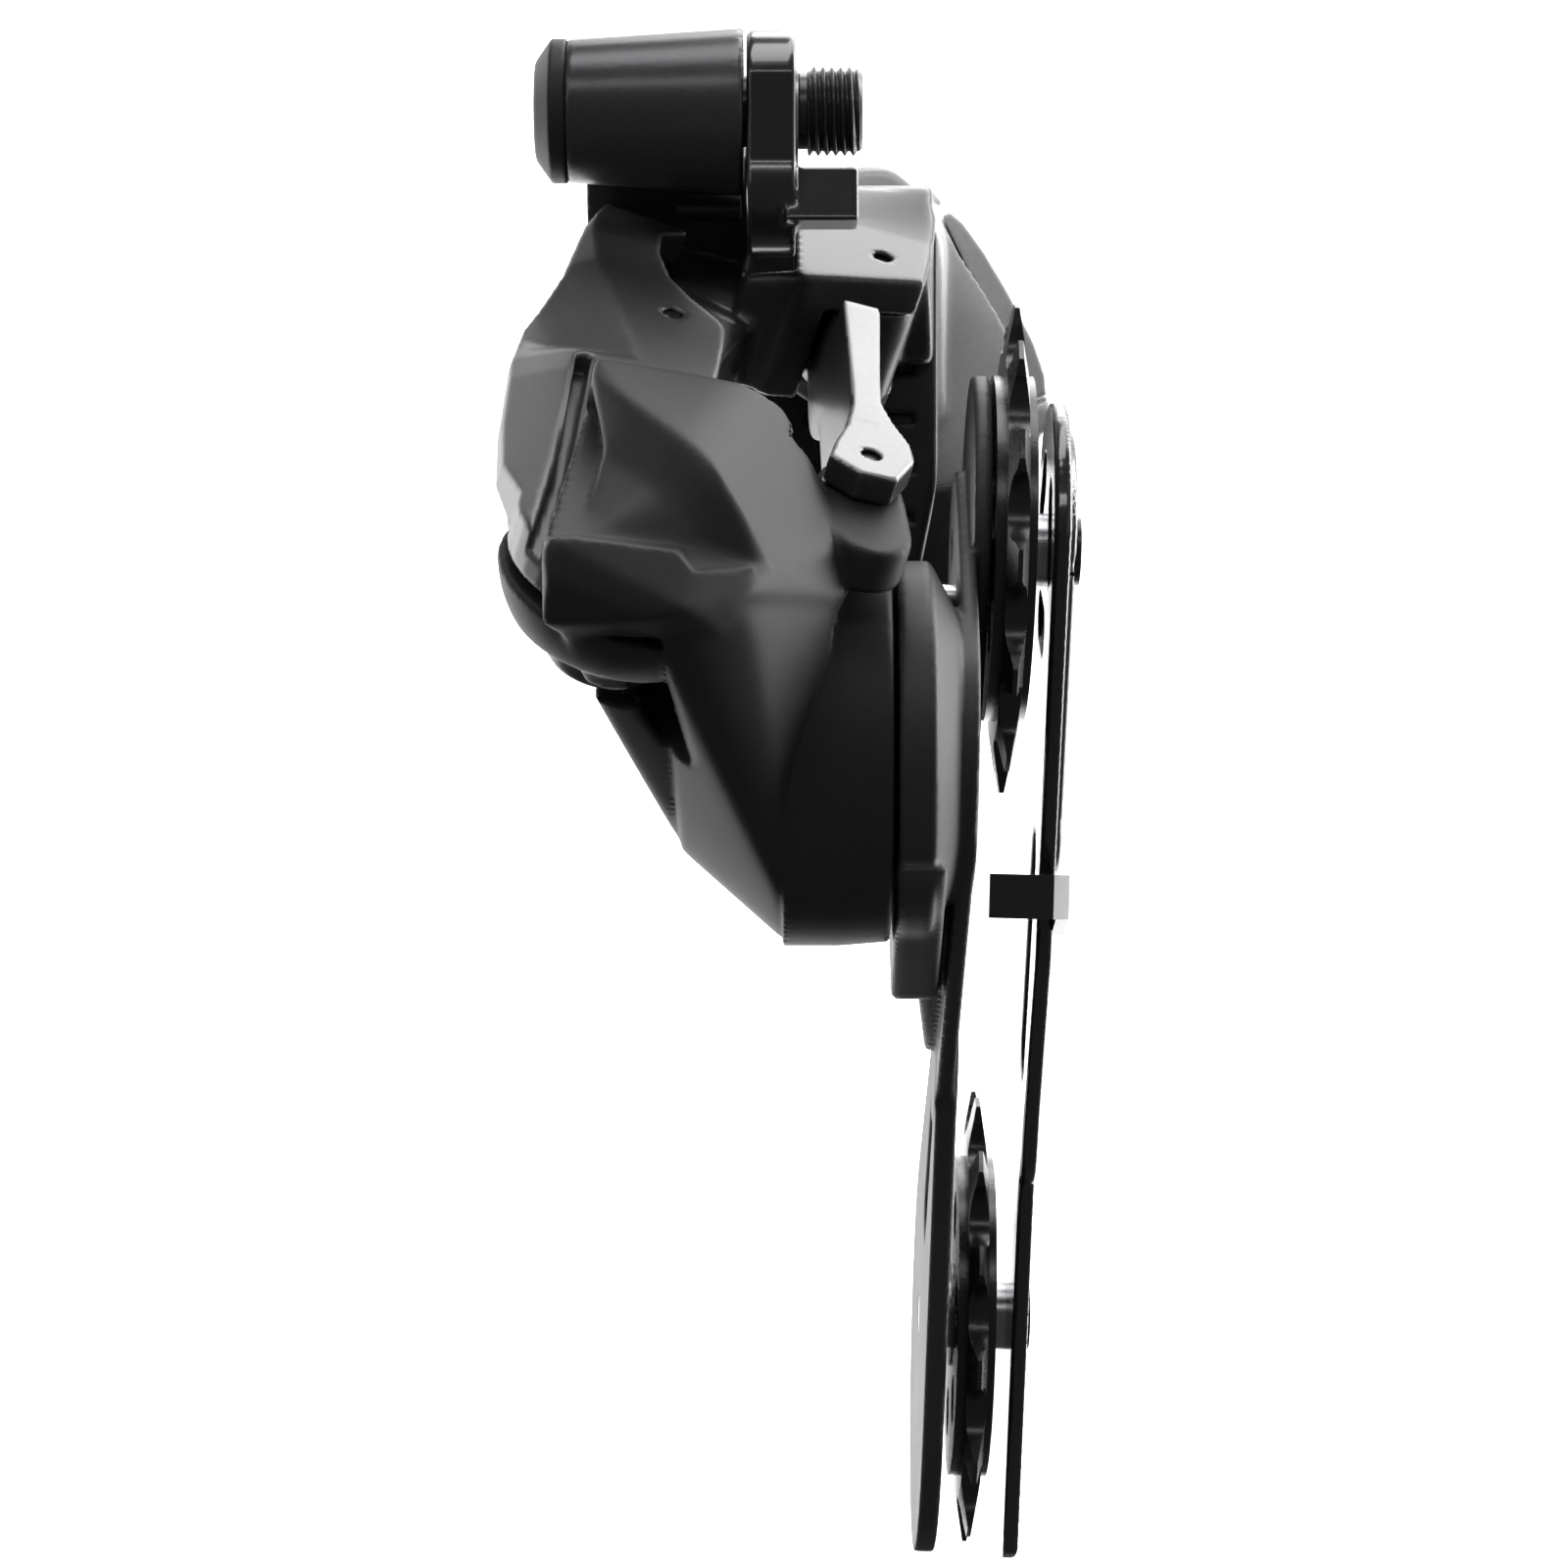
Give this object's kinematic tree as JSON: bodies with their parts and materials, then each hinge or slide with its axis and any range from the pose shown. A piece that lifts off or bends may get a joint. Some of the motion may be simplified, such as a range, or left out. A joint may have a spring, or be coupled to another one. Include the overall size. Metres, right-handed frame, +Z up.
{
  "type": "rear derailleur",
  "caption": "Electronic long-cage rear derailleur: slanted parallelogram moves a sprung cage with two jockey wheels sideways to shift and tension a chain.",
  "frame": {"origin": "axis of the hanger bolt at the face that seats on the frame's hanger", "axes": "+X inboard towards the wheel along the hanger bolt, +Y rearward, +Z up"},
  "size_m": [0.0658, 0.1404, 0.1824],
  "materials": {
    "bolt_black": "black oxide, semi-gloss",
    "plate_black": "gloss black coated steel",
    "steel": "ground steel",
    "upper_alloy": "dark grey anodised, satin",
    "housing_grey": "dark grey moulded, semi-gloss",
    "battery_black": "black moulded",
    "contacts": "plated contacts",
    "seal_rubber": "matt rubber",
    "lens": "clear lens",
    "board": "circuit board",
    "link_grey": "satin warm grey paint",
    "link_light": "light grey anodised, satin",
    "bushes": "plain bearing",
    "lower_black": "matt charcoal paint",
    "cage_satin": "satin black paint",
    "pulley_plastic": "glass-filled black plastic",
    "caps_steel": "pressed steel caps"
  },
  "bodies": {
    "hanger_side": {"b_bolt": "bolt_black", "stop_plate": "plate_black", "b_washer": "steel"},
    "upper_knuckle": {"b_knuckle": "upper_alloy", "b_cap": "upper_alloy", "b_bushes": "bushes", "b_tension_screw": "bolt_black", "battery_housing": "housing_grey", "battery": "battery_black", "contact_block": "contacts", "door_seal": "seal_rubber", "door_pin": "steel", "led_lens": "lens", "circuit_board": "board", "control_housing": "battery_black", "link_pin_2": "bolt_black", "bush_1": "bushes"},
    "door": {"battery_door": "housing_grey"},
    "button": {"mode_button": "battery_black"},
    "outer_arm": {"outer_link": "link_grey", "link_pin_1": "bolt_black", "link_pin_4": "bolt_black"},
    "inner_arm": {"inner_link": "link_light", "link_pin_3": "bolt_black", "bush_2": "bushes"},
    "lower_knuckle": {"p_knuckle": "lower_black", "motor_cover": "lower_black", "cover_screws": "bolt_black", "motor_unit": "steel", "clutch_ring": "steel", "p_bush": "bushes", "p_seal": "seal_rubber", "bush_4": "bushes", "p_spring": "steel"},
    "cage": {"cage_outer_plate": "cage_satin", "cage_inner_plate": "plate_black", "p_axle": "bolt_black", "axle_clip": "steel", "stop_pin": "steel", "chain_guard": "plate_black", "guide_bolt": "bolt_black", "tension_bolt": "bolt_black", "guide_sleeve": "steel", "tension_sleeve": "steel"},
    "guide_wheel": {"guide_pulley": "pulley_plastic", "guide_caps": "caps_steel"},
    "tension_wheel": {"tension_pulley": "pulley_plastic", "tension_caps": "caps_steel"}
  },
  "joints": [
    {"name": "hanger_pivot", "type": "hinge", "parent": "hanger_side", "child": "upper_knuckle", "pos_m": [0, 0, 0], "axis": [1, 0, 0], "range_deg": [0, 35]},
    {"name": "shift", "type": "hinge", "parent": "upper_knuckle", "child": "outer_arm", "pos_m": [-0.01638, -0.00286, -0.03077], "axis": [0.2756, -0.5306, 0.8016], "range_deg": [0, 52]},
    {"name": "inner_swing", "type": "hinge", "parent": "upper_knuckle", "child": "inner_arm", "pos_m": [0.00714, 0.01731, -0.02302], "axis": [0.2756, -0.5306, 0.8016], "range_deg": [0, 52]},
    {"name": "knuckle_swing", "type": "hinge", "parent": "outer_arm", "child": "lower_knuckle", "pos_m": [-0.01859, -0.04353, -0.05693], "axis": [0.2756, -0.5306, 0.8016], "range_deg": [-52, 0]},
    {"name": "cage_pivot", "type": "hinge", "parent": "lower_knuckle", "child": "cage", "pos_m": [0, -0.015, -0.0724], "axis": [1, 0, 0], "range_deg": [-80, 0], "stiffness_Nm_per_rad": 0.35, "springref_deg": 80.21},
    {"name": "guide_spin", "type": "hinge", "parent": "cage", "child": "guide_wheel", "pos_m": [0.02419, 0.009, -0.04909], "axis": [0.9997, 0, -0.0262], "continuous": true},
    {"name": "tension_spin", "type": "hinge", "parent": "cage", "child": "tension_wheel", "pos_m": [0.02173, 0.05, -0.14299], "axis": [0.9997, 0, -0.0262], "continuous": true},
    {"name": "door_hinge", "type": "hinge", "parent": "upper_knuckle", "child": "door", "pos_m": [0.0313, 0.057, -0.0303], "axis": [0, 1, 0], "range_deg": [0, 95]},
    {"name": "button_press", "type": "slide", "parent": "upper_knuckle", "child": "button", "axis": [1, 0, 0], "range_m": [0, 0.0006], "stiffness_N_per_m": 1500}
  ],
  "couplings": [
    {"joint": "inner_swing", "follows": "shift", "ratio": 1},
    {"joint": "knuckle_swing", "follows": "shift", "ratio": -1}
  ]
}
